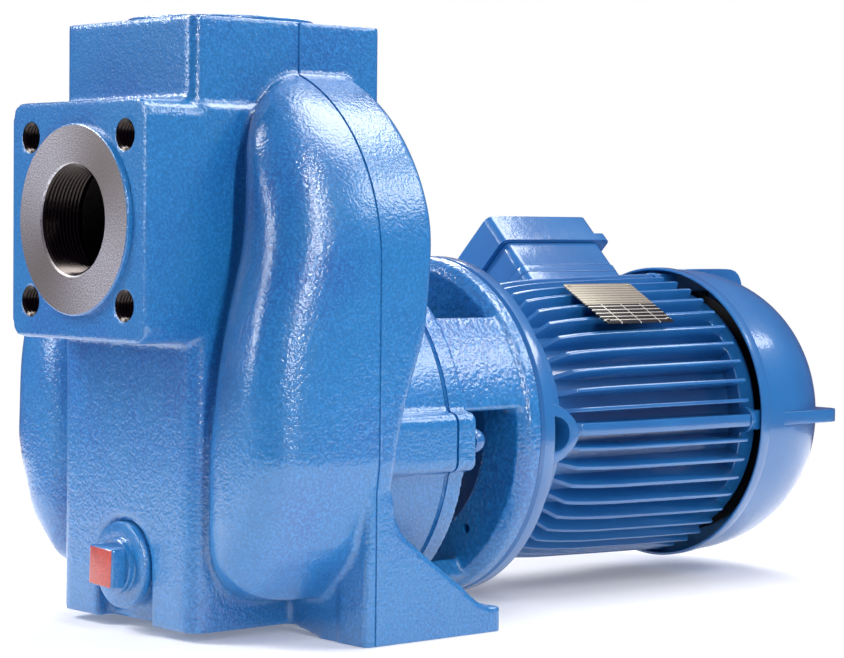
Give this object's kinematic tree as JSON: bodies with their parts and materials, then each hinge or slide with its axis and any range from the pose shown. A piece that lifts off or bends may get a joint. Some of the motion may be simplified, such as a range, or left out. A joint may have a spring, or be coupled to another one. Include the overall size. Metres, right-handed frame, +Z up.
{
  "type": "self-priming centrifugal pump",
  "caption": "Blue cast iron self-priming centrifugal pump with a square threaded suction flange, bulging casing on side feet, lantern bracket and finned flange motor.",
  "frame": {"origin": "on the floor, below the middle of the whole pump's length and width", "axes": "+Z up, -Y out of the suction port, +Y along the shaft to the motor, +X to the side seen in the picture"},
  "size_m": [0.26, 0.528, 0.331],
  "materials": {
    "blue_cast_iron": "glossy blue enamel over an orange-peel casting skin",
    "blue_motor": "smooth glossy blue enamel",
    "blue_steel": "glossy blue enamel",
    "dark_steel": "dark oiled steel",
    "bare_steel": "bare steel",
    "aluminium": "satin plate",
    "black_plastic": "matt"
  },
  "bodies": {
    "root": {"pump_casing": "blue_cast_iron", "drain_plug": "blue_cast_iron", "bracket": "blue_cast_iron", "joint_nut_right": "blue_steel", "joint_nut_left": "blue_steel", "seal_cover": "dark_steel", "pump_shaft": "dark_steel", "motor_flange": "blue_motor", "flange_bolt_right": "blue_steel", "flange_bolt_top": "blue_steel", "flange_bolt_left": "blue_steel", "flange_bolt_bottom": "blue_steel", "motor_frame": "blue_motor", "rear_shield": "blue_motor", "fan_cowl": "blue_steel", "fan": "black_plastic", "motor_shaft_end": "bare_steel", "terminal_box_base": "blue_motor", "terminal_box_body": "blue_motor", "terminal_box_lid": "blue_motor", "cable_gland": "black_plastic", "lid_screw_1": "bare_steel", "lid_screw_2": "bare_steel", "lid_screw_3": "bare_steel", "lid_screw_4": "bare_steel", "nameplate": "aluminium"}
  },
  "joints": []
}
